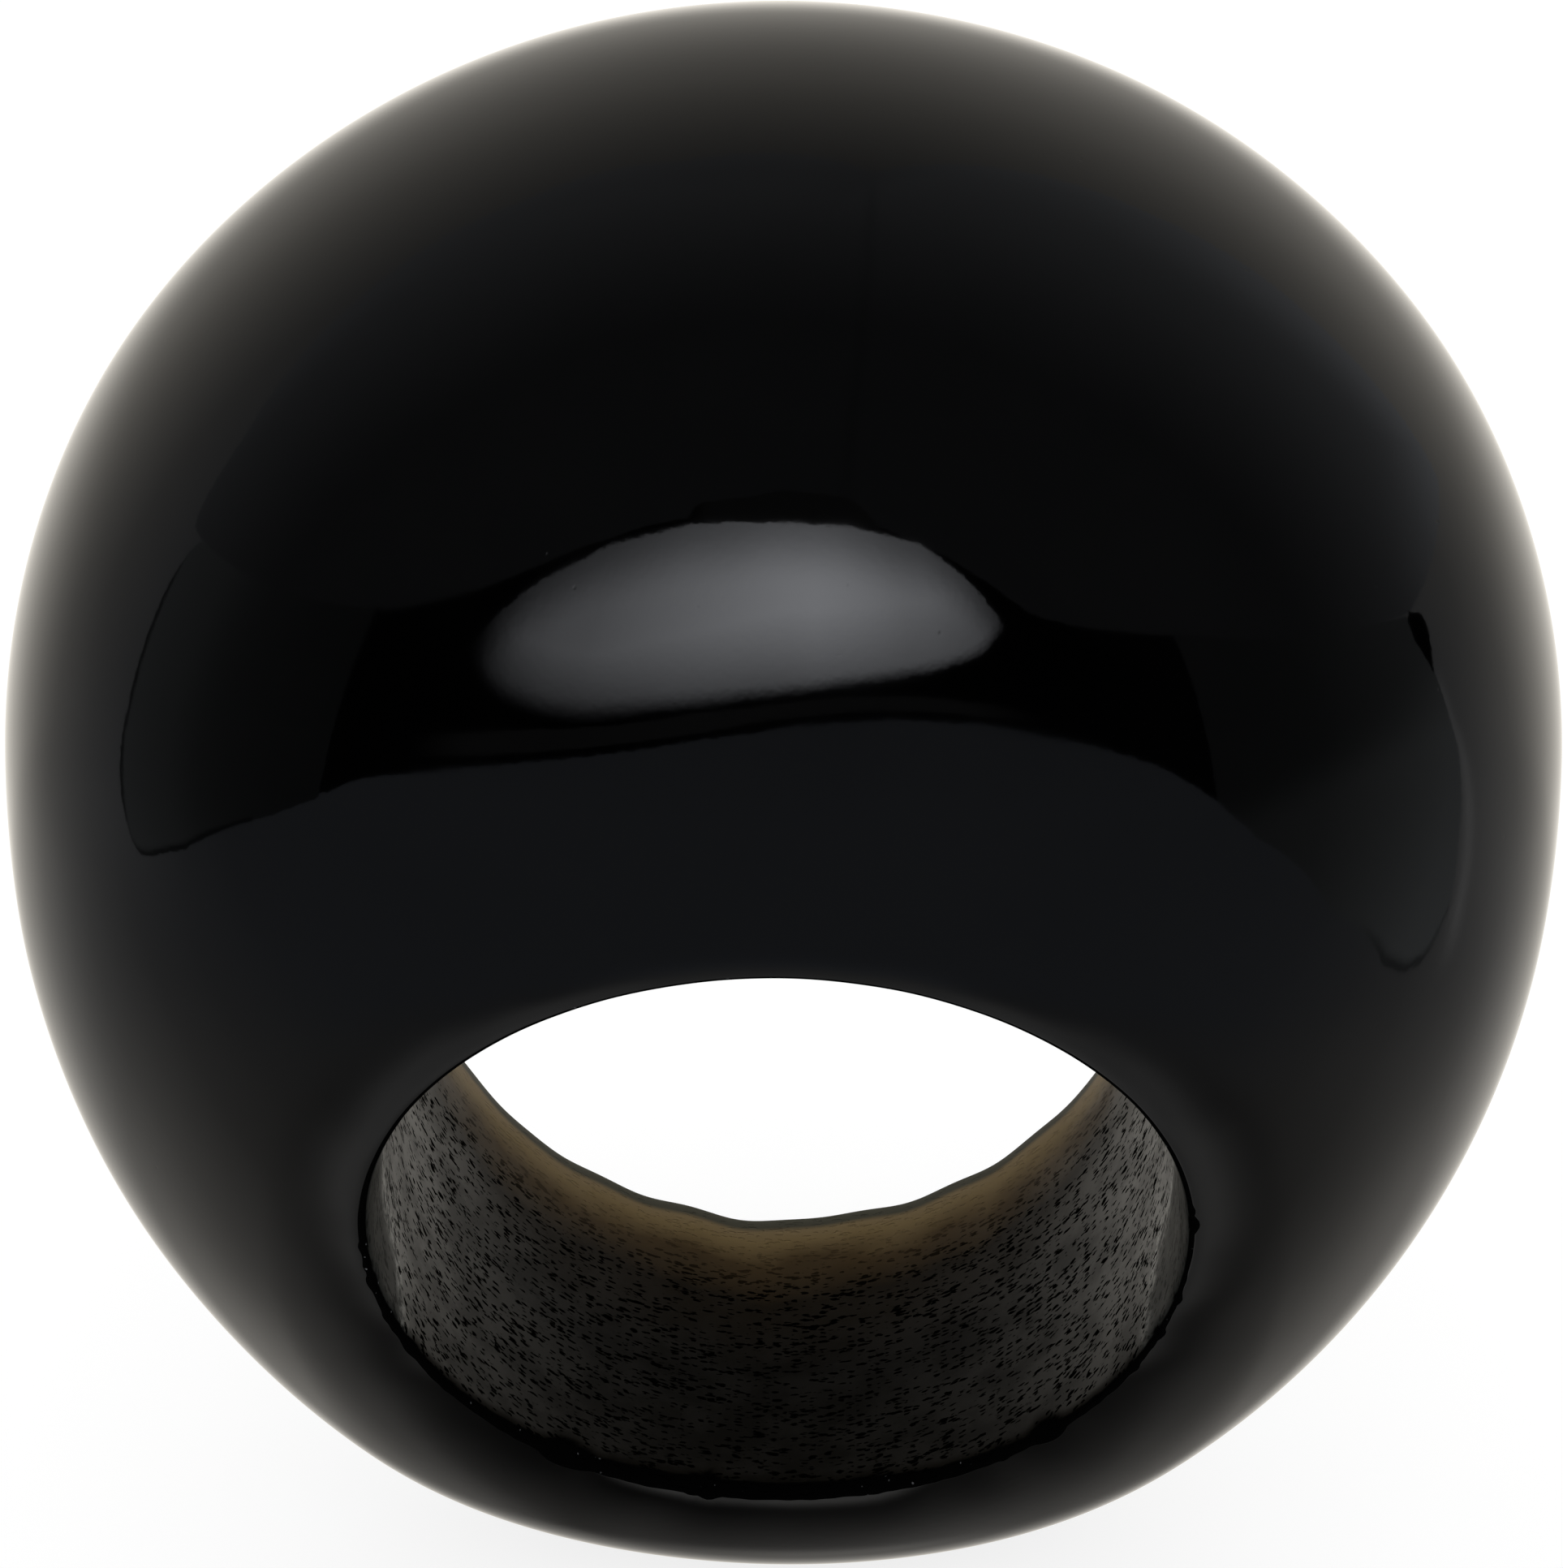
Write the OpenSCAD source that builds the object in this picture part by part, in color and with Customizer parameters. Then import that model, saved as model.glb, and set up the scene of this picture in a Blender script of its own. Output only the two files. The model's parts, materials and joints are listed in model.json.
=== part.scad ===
// Domed finger ring carved from one piece of stone.
// The finger hole runs along Y and its centre is the origin. The crown is up, along +Z.

/* [Finger hole] */
// Diameter of the straight part of the finger hole
bore_diameter = 17.3; // [15:0.1:20]
// Length of the straight part of the finger hole, along the finger
bore_length = 11.9; // [6:0.1:12.5]
// Angle at which both mouths of the hole open out from its axis
flare_angle = 6; // [0:0.5:15]

/* [Dome] */
// Depth of the stone at its widest level, along the finger
stone_depth = 27.2; // [25:0.1:30]
// Stone on each side of the finger hole, measured at the widest level
side_wall = 8.55; // [7:0.05:11]
// Stone over the finger hole, up to the crown
crown_wall = 15.9; // [12:0.1:20]
// Stone under the finger hole, down to the foot
foot_wall = 4.1; // [3.5:0.1:6]
// Height of the widest level over the axis of the finger hole
widest_height = 7.4; // [6:0.1:10]

/* [Front and back faces] */
// Radius of both faces, seen from the side
face_side_radius = 29.3; // [27:0.1:34]
// Radius of both faces, seen from above
face_top_radius = 24.5; // [22:0.1:28]
// Height of the deepest point of both faces over the axis of the finger hole
face_height = 10.4; // [9:0.1:12]
// How far the faces would stand clear of the dome at that point
face_relief = 0.3; // [0.2:0.1:1]

/* [Hidden] */
$fn = 160;

// How far a cutting shape runs past the stone
cut_margin = 1;

bore_radius = bore_diameter / 2;
stone_width = bore_diameter + 2 * side_wall;
dome_height = bore_radius + crown_wall - widest_height;
foot_drop = bore_radius + foot_wall + widest_height;
face_center = face_side_radius - stone_depth / 2 - face_relief;
flare_run = (stone_depth - bore_length) / 2 + cut_margin;
flare_radius = bore_radius + flare_run * tan(flare_angle);

// Half of an ellipsoid as wide and deep as the stone, over or under the level z = 0
module half_stone(height, side) {
    box = stone_width + dome_height + foot_drop;
    intersection() {
        scale([stone_width / 2, stone_depth / 2, height])
            sphere(r = 1);
        translate([0, 0, side * box / 2])
            cube(box, center = true);
    }
}

// Rounded dome over the widest level, with a longer oval under it
module domed_oval() {
    translate([0, 0, widest_height]) {
        half_stone(dome_height, 1);
        half_stone(foot_drop, -1);
    }
}

// Large round whose near side is the front face (side = 1) or the back face (side = -1)
module face_round(side) {
    translate([0, side * face_center, face_height])
        scale([face_top_radius, face_side_radius, face_side_radius])
            sphere(r = 1);
}

// The dome, narrowed towards the foot by the front and back faces
module stone_body() {
    intersection() {
        domed_oval();
        face_round(1);
        face_round(-1);
    }
}

// Straight hole for the finger, opened out at both mouths
module finger_hole() {
    rotate([90, 0, 0]) {
        cylinder(r = bore_radius, h = stone_depth + 2 * cut_margin, center = true);
        for (end = [0, 1])
            mirror([0, 0, end])
                translate([0, 0, bore_length / 2])
                    cylinder(r1 = bore_radius, r2 = flare_radius, h = flare_run);
    }
}

module stone_ring() {
    color([0.05, 0.05, 0.055])
        difference() {
            stone_body();
            finger_hole();
        }
}

stone_ring();
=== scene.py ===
# Domed finger ring carved from one piece of black stone: polished outside, ground matt in the finger hole.
import json
import math

import bpy
import numpy as np
from mathutils import Matrix, Vector


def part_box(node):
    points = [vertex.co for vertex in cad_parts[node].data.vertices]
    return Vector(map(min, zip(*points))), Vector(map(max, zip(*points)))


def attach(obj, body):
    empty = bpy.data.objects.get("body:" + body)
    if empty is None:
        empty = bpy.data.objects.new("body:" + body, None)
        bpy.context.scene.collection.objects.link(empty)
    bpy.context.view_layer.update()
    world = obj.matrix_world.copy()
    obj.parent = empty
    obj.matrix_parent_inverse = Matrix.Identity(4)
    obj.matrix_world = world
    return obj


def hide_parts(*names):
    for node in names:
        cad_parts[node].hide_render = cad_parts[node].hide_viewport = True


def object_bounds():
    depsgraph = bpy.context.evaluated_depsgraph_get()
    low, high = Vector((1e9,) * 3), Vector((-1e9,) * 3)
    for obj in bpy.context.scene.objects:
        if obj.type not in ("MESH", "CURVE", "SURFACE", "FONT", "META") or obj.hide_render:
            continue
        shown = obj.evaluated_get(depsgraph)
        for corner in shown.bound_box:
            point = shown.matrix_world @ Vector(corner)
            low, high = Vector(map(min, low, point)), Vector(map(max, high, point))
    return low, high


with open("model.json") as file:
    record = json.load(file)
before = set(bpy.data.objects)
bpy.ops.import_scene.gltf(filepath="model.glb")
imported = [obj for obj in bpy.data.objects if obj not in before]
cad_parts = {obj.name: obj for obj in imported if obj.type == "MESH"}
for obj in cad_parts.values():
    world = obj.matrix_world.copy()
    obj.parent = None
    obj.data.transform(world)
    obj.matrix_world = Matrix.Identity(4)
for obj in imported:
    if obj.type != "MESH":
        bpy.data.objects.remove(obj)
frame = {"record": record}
cad_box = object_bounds()

# Shape values are in millimetres and are turned into metres when a mesh is made.
MM = 0.001

# The finger hole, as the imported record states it.
HOLE = next(m for m in frame["record"]["mounts"] if m["name"] == "finger_bore")
HOLE_RADIUS = HOLE["dims"]["r_mm"]
STRAIGHT_HALF = HOLE["dims"]["length_mm"] / 2
FLARE_SLOPE = math.tan(math.radians(6.0))
# How far the crease between the straight part and a mouth is rounded.
CREASE_SOFTNESS = 1.2

# The dome: an oval over the widest level, a longer one for its flanks and a flatter one for its foot.
STONE_LOW, STONE_HIGH = (np.array(corner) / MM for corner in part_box("stone_ring"))
HALF_WIDTH = (STONE_HIGH[0] - STONE_LOW[0]) / 2
HALF_DEPTH = 13.6
WIDEST = 7.4
DOME_HEIGHT = STONE_HIGH[2] - WIDEST
FOOT_DROP = WIDEST - STONE_LOW[2]
FLANK_DROP = 23.15
FOOT_HALF_WIDTH, FOOT_HALF_DEPTH = 18.38, 32.58
FOOT_BLEND = 2.0

# The front and back faces, two large rounds that narrow the stone towards its foot.
FACE_SIDE_RADIUS = 35.5
FACE_TOP_RADIUS = 24.5
FACE_HEIGHT = 13.2
FACE_RELIEF = 0.80
FACE_CENTER = FACE_SIDE_RADIUS - HALF_DEPTH - FACE_RELIEF
FACE_BLEND = 0.8

# The lip under the hole is ground back at the front by a third, almost flat round that leans forward.
LIP_LEAN = math.radians(28.57)
LIP_DEPTH, LIP_LEVEL = -4.2, -10.5
LIP_OFFSET = 0.34
LIP_CROSS_RADIUS, LIP_SIDE_RADIUS = 298.5, 264.0
LIP_BLEND = 2.0

# How far, and over which distance from the hole, the skin turns in at a mouth.
TURN_IN = 0.11
TURN_IN_REACH = 0.30
# Where it does so: from the sides of the hole up, and right under the front mouth, a little to the left.
# Levels are sines of the angle around the hole.
TURN_IN_SIDES = (-0.6, 0.1)
TURN_IN_UNDER = (-0.88, -0.98)
TURN_IN_LEAN = 0.04

# The chipped bevel of both mouths: fine over the hole, broad under it, and broader on the left than on the right.
BEVEL_MEAN = 0.065
BEVEL_SWING = 0.105
BEVEL_TILT = 0.025
BEVEL_LEAST = 0.055
# How many times deeper the back bevel is: more under the hole, less over it.
BACK_BEVEL_MEAN, BACK_BEVEL_SWING = 1.20, 0.45
# Beside the hole the front bevel is finer, between two levels, again as sines.
BEVEL_SIDE_SHARE = 0.68
BEVEL_SIDE_TOP, BEVEL_SIDE_FOOT = (0.10, -0.15), (-0.92, -0.66)
# How far the bevel leans to the wall of the hole and to the skin, and how its two edges are rounded.
BEVEL_HOLE_SHARE, BEVEL_SKIN_SHARE = 0.70, 0.55
BEVEL_INNER_BLEND = 0.15
BEVEL_OUTER_BLEND = 0.05

# Chips in the bevel of the front mouth: angle around the hole, half width and depth.
CHIPS = (
    (0.085, 0.034, 0.08), (0.140, 0.022, 0.03), (3.176, 0.020, 0.03), (3.255, 0.020, 0.02),
    (3.316, 0.030, 0.035), (3.456, 0.026, 0.025), (3.590, 0.030, 0.035), (4.160, 0.075, 0.14),
    (4.505, 0.020, 0.06), (4.545, 0.028, 0.11), (4.930, 0.018, 0.02), (4.962, 0.022, 0.04),
    (5.306, 0.016, 0.04), (5.455, 0.060, 0.14), (5.794, 0.022, 0.05), (5.934, 0.026, 0.07), (6.074, 0.020, 0.05),
)
# Fine ragged waver of the front bevel: waves around the hole and their phases, their depth, and where it fades in.
RAGGED_WAVES = ((29, 0.3), (47, 2.6), (71, 4.4), (97, 1.2), (121, 5.1))
RAGGED_DEPTH = 0.004
RAGGED_LEVEL = (0.2, -0.3)

# Where the ground finish ends: how far past the front bevel, and how far from the far rim's corner.
FRONT_GROUND_MARGIN = 0.07
BACK_GROUND_END = -0.05
# How far before the far bevel the painted glow of the thin rim is counted from.
RIM_MARGIN = 0.05
# How far from the front corner the even spacing of the outer mesh points ends.
CALM_LEAN = 1.2

# Slow unevenness from carving by hand: wave length, phase and direction of each wave.
CARVING_HEIGHT = 0.004
CARVING_WAVES = (
    (11.0, 0.4, (0.82, 0.31, 0.48)),
    (9.0, 2.1, (-0.35, 0.62, 0.70)),
    (13.0, 4.4, (0.55, -0.60, 0.58)),
    (7.5, 1.3, (0.10, 0.92, -0.38)),
    (8.2, 5.2, (-0.77, 0.12, 0.63)),
    (6.4, 3.0, (0.44, 0.50, -0.75)),
)

# Waver of the two mouths: waves around the hole and their phases, and how far from the hole it reaches.
MOUTH_WAVES = ((5, 0.6), (8, 2.2), (13, 4.1), (19, 1.0), (27, 3.3))
FRONT_WAVER = 0.006
BACK_WAVER = 0.012
FRONT_WAVE_SHIFT = 1.7
WAVER_REACH = 1.2
# The same waves make the back bevel uneven under the hole.
BACK_UNEVEN = 0.015

# Mesh counts.
AROUND = 520
BORE_STEPS = 62
OUTER_STEPS = 108
EDGE_STEPS = 20
FINE_STEPS = 960
# How much closer mesh points lie at the corners of the mouths, and how far from a corner.
CORNER_CROWD = 12
CORNER_WIDTH = 0.4
# How softly the chipped edge's colour begins.
EDGE_SOFTNESS = 0.03
# The search for the skin: a distance outside the stone, and how often it is halved.
OUTSIDE = 40.0
HALVINGS = 40
RAY_HALVINGS = 34


def oval_gap(x, y, z, half_x, half_y, half_z):
    """About how far a point lies outside an oval; zero on its skin."""
    stretch = np.sqrt((x / half_x) ** 2 + (y / half_y) ** 2 + (z / half_z) ** 2)
    slope = np.sqrt((x / half_x**2) ** 2 + (y / half_y**2) ** 2 + (z / half_z**2) ** 2)
    return stretch * (stretch - 1) / np.maximum(slope, 1e-9)


def soft_max(a, b, width):
    """The larger of two gaps, with the edge between them rounded over the width."""
    overlap = np.clip(1 - np.abs(a - b) / width, 0, 1)
    return np.maximum(a, b) + width * overlap**2 / 4


def smooth_step(low, high, value):
    share = np.clip((value - low) / (high - low), 0, 1)
    return share * share * (3 - 2 * share)


def carving(x, y, z):
    """Slow waves that hand work leaves in the polished skin."""
    total = 0.0
    for length, phase, (dx, dy, dz) in CARVING_WAVES:
        total = total + np.sin((x * dx + y * dy + z * dz) * 2 * math.pi / length + phase)
    return CARVING_HEIGHT * total


def wave_sum(waves, angle, shift=0.0):
    """Sum of waves around the hole, given as (count, phase)."""
    total = 0.0
    for count, phase in waves:
        total = total + np.sin(count * angle + phase + shift)
    return total


def mouth_waver(angle, y):
    """How the mouths of the hole wander in and out around the hole."""
    total = wave_sum(MOUTH_WAVES, angle, np.where(y > 0, 0.0, FRONT_WAVE_SHIFT))
    return total * np.where(y > 0, BACK_WAVER, FRONT_WAVER)


def skin_gap(radius, y, angle):
    """Gap to the outside of the stone, without its hole."""
    x, z = radius * np.cos(angle), radius * np.sin(angle)
    rise = z - WIDEST
    dome = np.where(
        rise > 0,
        oval_gap(x, y, rise, HALF_WIDTH, HALF_DEPTH, DOME_HEIGHT),
        oval_gap(x, y, rise, HALF_WIDTH, HALF_DEPTH, FLANK_DROP),
    )
    foot = oval_gap(x, y, rise, FOOT_HALF_WIDTH, FOOT_HALF_DEPTH, FOOT_DROP)
    face = oval_gap(
        x, np.abs(y) + FACE_CENTER, z - FACE_HEIGHT, FACE_TOP_RADIUS, FACE_SIDE_RADIUS, FACE_SIDE_RADIUS
    )
    out_y, out_z = LIP_DEPTH - y, LIP_LEVEL - z
    lip = out_y * math.cos(LIP_LEAN) + out_z * math.sin(LIP_LEAN) - LIP_OFFSET
    down = out_z * math.cos(LIP_LEAN) - out_y * math.sin(LIP_LEAN)
    lip = lip + x**2 / (2 * LIP_CROSS_RADIUS) + down**2 / (2 * LIP_SIDE_RADIUS)
    body = soft_max(soft_max(dome, foot, FOOT_BLEND), face, FACE_BLEND)
    body = soft_max(body, lip, LIP_BLEND)
    near_hole = np.exp(-np.clip(radius - HOLE_RADIUS, 0, None) / WAVER_REACH)
    turned_in = TURN_IN * np.exp(np.minimum(hole_gap(radius, y), 0) / TURN_IN_REACH)
    under_hole = smooth_step(*TURN_IN_UNDER, np.sin(angle) + TURN_IN_LEAN * np.cos(angle)) * (y < 0)
    turned_in = turned_in * (smooth_step(*TURN_IN_SIDES, np.sin(angle)) + under_hole)
    return body + carving(x, y, z) + near_hole * mouth_waver(angle, y) + turned_in


def hole_gap(radius, y):
    """Gap to the wall of the finger hole, straight in the middle and opened out at both mouths."""
    past = np.abs(y) - STRAIGHT_HALF
    opened = 0.5 * (past + np.sqrt(past**2 + CREASE_SOFTNESS**2))
    return HOLE_RADIUS + FLARE_SLOPE * opened - radius


def bevel_depth(angle, y):
    """How deep the bevel cuts a mouth's corner: more under the hole, and at the chips of the front mouth."""
    depth = BEVEL_MEAN - BEVEL_SWING * np.sin(angle) - BEVEL_TILT * np.cos(angle)
    beside = smooth_step(*BEVEL_SIDE_TOP, np.sin(angle)) * smooth_step(*BEVEL_SIDE_FOOT, np.sin(angle))
    back_share = BACK_BEVEL_MEAN - BACK_BEVEL_SWING * np.sin(angle)
    share = np.where(y > 0, back_share, 1 - (1 - BEVEL_SIDE_SHARE) * beside)
    depth = np.maximum(depth, BEVEL_LEAST) * share
    chipped = 0.0
    for place, half, deep in CHIPS:
        chipped = chipped + deep * np.clip(1 - ((angle - place) / half) ** 2, 0, 1)
    low = smooth_step(*RAGGED_LEVEL, np.sin(angle))
    ragged = RAGGED_DEPTH * wave_sum(RAGGED_WAVES, angle) * low
    uneven = BACK_UNEVEN * wave_sum(MOUTH_WAVES, angle) * low
    return depth + np.where(y < 0, chipped + ragged, uneven)


def stone_gap(radius, y, angle):
    skin, hole = skin_gap(radius, y, angle), hole_gap(radius, y)
    bevel = BEVEL_HOLE_SHARE * hole + BEVEL_SKIN_SHARE * skin + bevel_depth(angle, y)
    return soft_max(soft_max(bevel, hole, BEVEL_INNER_BLEND), skin, BEVEL_OUTER_BLEND)


def reach(center, angle, turn):
    """Points of the stone's section at each angle, along rays that leave its middle at each turn."""
    out_step, y_step = np.cos(turn), -np.sin(turn)
    near, far = np.zeros(turn.shape), np.full(turn.shape, OUTSIDE)
    for _ in range(RAY_HALVINGS):
        middle = (near + far) / 2
        inside = stone_gap(center + middle * out_step, middle * y_step, angle) < 0
        near, far = np.where(inside, middle, near), np.where(inside, far, middle)
    length = (near + far) / 2
    return center + length * out_step, length * y_step


def section_loops():
    """Radius and depth of every mesh point, one loop around the stone's section for each angle, and the far rim.

    Each loop starts at the front end of the ground finish, runs through the hole to the far end of
    that finish, and comes back over the polished outside, closer spaced in front of the mouth.
    """
    angle = np.linspace(0, 2 * math.pi, AROUND, endpoint=False)[:, None]
    low, high = np.full(angle.shape, HOLE_RADIUS), np.full(angle.shape, OUTSIDE)
    for _ in range(HALVINGS):
        middle = (low + high) / 2
        inside = skin_gap(middle, 0 * middle, angle) < 0
        low, high = np.where(inside, middle, low), np.where(inside, high, middle)
    center = (HOLE_RADIUS + low) / 2

    turn = np.repeat(np.linspace(0, 2 * math.pi, FINE_STEPS + 1)[None, :], AROUND, axis=0)
    radius, y = reach(center, angle, turn)
    lean = skin_gap(radius, y, angle) - hole_gap(radius, y)
    front_end = bevel_depth(angle, -1.0) / BEVEL_HOLE_SHARE + FRONT_GROUND_MARGIN
    rim_start = -bevel_depth(angle, 1.0) / BEVEL_SKIN_SHARE - RIM_MARGIN
    length = np.hypot(np.diff(radius), np.diff(y))
    middle_lean = (lean[:, 1:] + lean[:, :-1]) / 2
    corner = np.exp(-((middle_lean / CORNER_WIDTH) ** 2))
    weighted = np.cumsum(length * (1 + CORNER_CROWD * corner), axis=1)
    weighted = np.hstack([np.zeros((AROUND, 1)), weighted])

    half = FINE_STEPS // 2
    turns = np.empty((AROUND, BORE_STEPS + OUTER_STEPS + EDGE_STEPS))
    rim_y = np.empty((AROUND, 1))
    for row in range(AROUND):
        front = np.interp(-front_end[row, 0], -lean[row, :half], weighted[row, :half])
        calm = np.interp(-CALM_LEAN, -lean[row, :half], weighted[row, :half])
        back = np.interp(BACK_GROUND_END, lean[row, half:], weighted[row, half:])
        rim_y[row] = np.interp(rim_start[row, 0], lean[row, half:], y[row, half:])
        whole = weighted[row, -1]
        bore = np.linspace(front, back, BORE_STEPS, endpoint=False)
        outer = np.linspace(back - whole, calm, OUTER_STEPS, endpoint=False)
        edge = np.linspace(calm, front, EDGE_STEPS, endpoint=False)
        turns[row] = np.interp(np.concatenate([bore, outer, edge]) % whole, weighted[row], turn[row])
    radius, y = reach(center, angle, turns)
    return angle, radius, y, rim_y


def carved_stone():
    """The stone as one closed mesh, with its two finishes, its chipped edge and the distance from its far rim."""
    angle, radius, y, rim_y = section_loops()
    steps = BORE_STEPS + OUTER_STEPS + EDGE_STEPS
    points = np.stack([radius * np.cos(angle), y, radius * np.sin(angle)], axis=-1)

    row = np.arange(AROUND)[:, None]
    column = np.arange(steps)[None, :]
    next_row, next_column = (row + 1) % AROUND, (column + 1) % steps
    quads = np.stack(
        [
            row * steps + column,
            next_row * steps + column,
            next_row * steps + next_column,
            row * steps + next_column,
        ],
        axis=-1,
    ).reshape(-1, 4)
    ground = np.repeat((column < BORE_STEPS), AROUND, axis=0).reshape(-1)
    rim_distance = np.clip(rim_y - y, 0, None)
    lean = skin_gap(radius, y, angle) - hole_gap(radius, y)
    bevel_start = -bevel_depth(angle, -1.0) / BEVEL_SKIN_SHARE
    chipped_edge = smooth_step(-EDGE_SOFTNESS, EDGE_SOFTNESS, lean - bevel_start) * (y < 0)

    mesh = bpy.data.meshes.new("carved_stone")
    mesh.from_pydata((points.reshape(-1, 3) * MM).tolist(), [], quads.tolist())
    mesh.polygons.foreach_set("use_smooth", np.ones(len(quads), dtype=bool))
    mesh.polygons.foreach_set("material_index", ground.astype(np.int32))
    for name, values in (("rim_distance", rim_distance), ("chipped_edge", chipped_edge)):
        attribute = mesh.attributes.new(name, "FLOAT", "POINT")
        attribute.data.foreach_set("value", values.reshape(-1).astype(np.float32))
    mesh.update()
    stone = bpy.data.objects.new("carved_stone", mesh)
    bpy.context.collection.objects.link(stone)
    return stone


class Sheet:
    """A node tree being filled in: adds nodes and links with few words."""

    def __init__(self, tree):
        self.tree = tree

    def node(self, kind, settings=None, **inputs):
        made = self.tree.nodes.new(kind)
        for key, value in (settings or {}).items():
            setattr(made, key, value)
        for key, value in inputs.items():
            self.feed(made.inputs[key.replace("_", " ")], value)
        return made

    def feed(self, socket, value):
        if isinstance(value, bpy.types.NodeSocket):
            self.tree.links.new(value, socket)
        else:
            socket.default_value = value

    def math(self, operation, a, b=0.0, c=0.0, clamp=False):
        made = self.node("ShaderNodeMath", {"operation": operation, "use_clamp": clamp})
        for socket, value in zip(made.inputs, (a, b, c)):
            self.feed(socket, value)
        return made.outputs[0]

    def vector(self, operation, a, b):
        made = self.node("ShaderNodeVectorMath", {"operation": operation})
        self.feed(made.inputs[0], a)
        self.feed(made.inputs[1], b)
        return made.outputs[0]

    def remap(self, value, low, high, to_low=0.0, to_high=1.0):
        made = self.node("ShaderNodeMapRange", {"interpolation_type": "SMOOTHSTEP"})
        for key, item in (("Value", value), ("From Min", low), ("From Max", high)):
            self.feed(made.inputs[key], item)
        self.feed(made.inputs["To Min"], to_low)
        self.feed(made.inputs["To Max"], to_high)
        return made.outputs["Result"]

    def mix(self, share, a, b):
        made = self.node("ShaderNodeMix", {"data_type": "RGBA", "blend_type": "MIX"})
        self.feed(made.inputs[0], share)
        self.feed(made.inputs[6], a)
        self.feed(made.inputs[7], b)
        return made.outputs[2]

    def noise(self, vector, scale, detail=2.0, roughness=0.5):
        made = self.node("ShaderNodeTexNoise", Vector=vector, Scale=scale, Detail=detail, Roughness=roughness)
        return made.outputs["Fac"]

    def ramp(self, value, stops):
        made = self.node("ShaderNodeValToRGB", Fac=value)
        elements = made.color_ramp.elements
        while len(elements) < len(stops):
            elements.new(1.0)
        for element, (place, color) in zip(elements, stops):
            element.position = place
            element.color = (*color, 1.0)
        return made.outputs["Color"]


def effect_group(name, inputs, outputs):
    """An empty shader node group with named sockets."""
    group = bpy.data.node_groups.new(name, "ShaderNodeTree")
    for label, kind, value in inputs:
        socket = group.interface.new_socket(label, in_out="INPUT", socket_type=kind)
        if value is not None:
            socket.default_value = value
    for label, kind in outputs:
        group.interface.new_socket(label, in_out="OUTPUT", socket_type=kind)
    sheet = Sheet(group)
    return sheet, group.nodes.new("NodeGroupInput").outputs, group.nodes.new("NodeGroupOutput").inputs


def place_group(sheet, group_name, **inputs):
    return sheet.node("ShaderNodeGroup", {"node_tree": bpy.data.node_groups[group_name]}, **inputs).outputs


def make_pit_group():
    """Small irregular pits, longer around the hole than along it: their mask and their depth."""
    sheet, given, result = effect_group(
        "stone pits",
        (
            ("Place", "NodeSocketVector", None),
            ("Across", "NodeSocketFloat", 6000.0),
            ("Around", "NodeSocketFloat", 4400.0),
            ("Size", "NodeSocketFloat", 0.33),
        ),
        (("Pits", "NodeSocketFloat"), ("Depth", "NodeSocketFloat")),
    )
    stretch = sheet.node("ShaderNodeCombineXYZ", X=given["Around"], Y=given["Across"], Z=given["Around"])
    place = sheet.vector("MULTIPLY", given["Place"], stretch.outputs[0])
    bend = sheet.node("ShaderNodeTexNoise", Vector=place, Scale=1.3, Detail=1.0)
    centered = sheet.vector("SUBTRACT", bend.outputs["Color"], (0.5, 0.5, 0.5))
    shift = sheet.vector("MULTIPLY", centered, (0.9, 0.9, 0.9))
    cells = sheet.node("ShaderNodeTexVoronoi", Vector=sheet.vector("ADD", place, shift), Scale=1.0)
    lot = sheet.node("ShaderNodeSeparateXYZ", Vector=cells.outputs["Color"]).outputs["X"]
    radius = sheet.math("MULTIPLY", given["Size"], sheet.remap(lot, 0.15, 1.0, 0.0, 1.45))
    crowd = sheet.remap(sheet.noise(place, 0.16, 2.0, 0.5), 0.3, 0.7, 0.75, 1.25)
    radius = sheet.math("MULTIPLY", radius, crowd)
    inside = sheet.math("SUBTRACT", radius, cells.outputs["Distance"])
    strength = sheet.remap(lot, 0.15, 0.75, 0.5, 1.0)
    sheet.feed(result["Pits"], sheet.math("MULTIPLY", strength, sheet.remap(inside, -0.05, 0.08)))
    sheet.feed(result["Depth"], sheet.remap(inside, -0.05, 0.25))


def make_cloud_group():
    """Soft cloudy change of tone inside the stone."""
    sheet, given, result = effect_group(
        "stone clouds",
        (
            ("Place", "NodeSocketVector", None),
            ("Scale", "NodeSocketFloat", 300.0),
            ("Dark", "NodeSocketColor", (0, 0, 0, 1)),
            ("Light", "NodeSocketColor", (1, 1, 1, 1)),
        ),
        (("Color", "NodeSocketColor"), ("Tone", "NodeSocketFloat")),
    )
    tone = sheet.noise(given["Place"], given["Scale"], 4.0, 0.6)
    share = sheet.remap(tone, 0.3, 0.7)
    sheet.feed(result["Color"], sheet.mix(share, given["Dark"], given["Light"]))
    sheet.feed(result["Tone"], share)


def new_material(name):
    material = bpy.data.materials.new(name)
    material.use_nodes = True
    material.node_tree.nodes.clear()
    return material, Sheet(material.node_tree)


STONE_IOR = 1.54
# The darkest and lightest tone inside the polished stone.
POLISH_DARK, POLISH_LIGHT = (0.00015, 0.00015, 0.0002, 1), (0.00045, 0.00045, 0.0005, 1)
# Height in metres of the polish's ripple and pits.
POLISH_RELIEF = 0.0000012
# Its ripple and its smears, and how rough the smears and pits are.
RIPPLE_SCALE, RIPPLE_SHARE = 5200.0, 0.35
SMEAR_SCALE = 190.0
SMEAR_ROUGHNESS, PIT_ROUGHNESS = (0.035, 0.07), 0.3


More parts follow.
